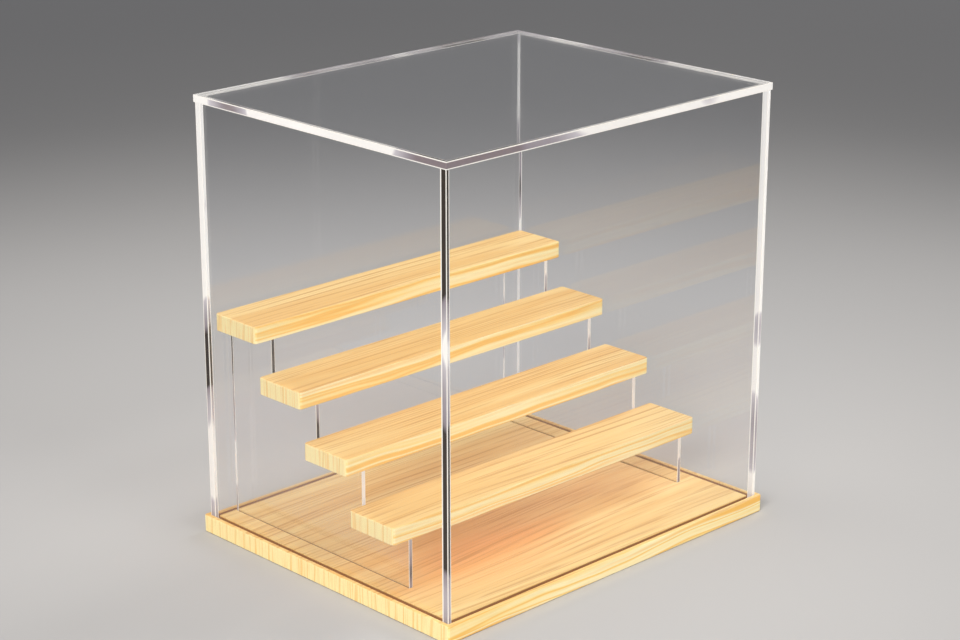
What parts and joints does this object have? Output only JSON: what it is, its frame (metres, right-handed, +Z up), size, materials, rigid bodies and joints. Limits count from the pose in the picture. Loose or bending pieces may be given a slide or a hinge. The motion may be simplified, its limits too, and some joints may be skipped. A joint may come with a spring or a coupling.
{
  "type": "display case",
  "caption": "Clear box-shaped cover that lifts off a grooved wood base, over a stepped stand whose wood shelves hold small models in rising rows.",
  "frame": {"origin": "centre of the underside of the wood base", "axes": "+X to the viewer's right along the shelves, +Y from the front to the back, +Z up"},
  "size_m": [0.3, 0.2426, 0.3045],
  "materials": {
    "base_wood": "satin clear-coated pale pine",
    "shelf_wood": "satin clear-coated pale pine",
    "clear_acrylic": "clear cast acrylic with flame-polished edges",
    "riser_acrylic": "clear cast acrylic, laser-cut edges"
  },
  "bodies": {
    "base": {"base": "base_wood"},
    "cover": {"front_panel": "clear_acrylic", "back_panel": "clear_acrylic", "left_panel": "clear_acrylic", "right_panel": "clear_acrylic", "top_panel": "clear_acrylic"},
    "stand": {"left_riser": "riser_acrylic", "right_riser": "riser_acrylic"},
    "shelf_bottom": {"shelf_bottom": "shelf_wood"},
    "shelf_lower": {"shelf_lower": "shelf_wood"},
    "shelf_upper": {"shelf_upper": "shelf_wood"},
    "shelf_top": {"shelf_top": "shelf_wood"}
  },
  "joints": [
    {"name": "cover_lift", "type": "slide", "parent": "base", "child": "cover", "axis": [0, 0, 1], "range_m": [0, 0.165]},
    {"name": "stand_lift", "type": "slide", "parent": "base", "child": "stand", "axis": [0, 0, 1], "range_m": [0, 0.015]},
    {"name": "shelf_bottom_lift", "type": "slide", "parent": "stand", "child": "shelf_bottom", "axis": [0, 0, 1], "range_m": [0, 0.02]},
    {"name": "shelf_lower_lift", "type": "slide", "parent": "stand", "child": "shelf_lower", "axis": [0, 0, 1], "range_m": [0, 0.02]},
    {"name": "shelf_upper_lift", "type": "slide", "parent": "stand", "child": "shelf_upper", "axis": [0, 0, 1], "range_m": [0, 0.02]},
    {"name": "shelf_top_lift", "type": "slide", "parent": "stand", "child": "shelf_top", "axis": [0, 0, 1], "range_m": [0, 0.02]}
  ]
}
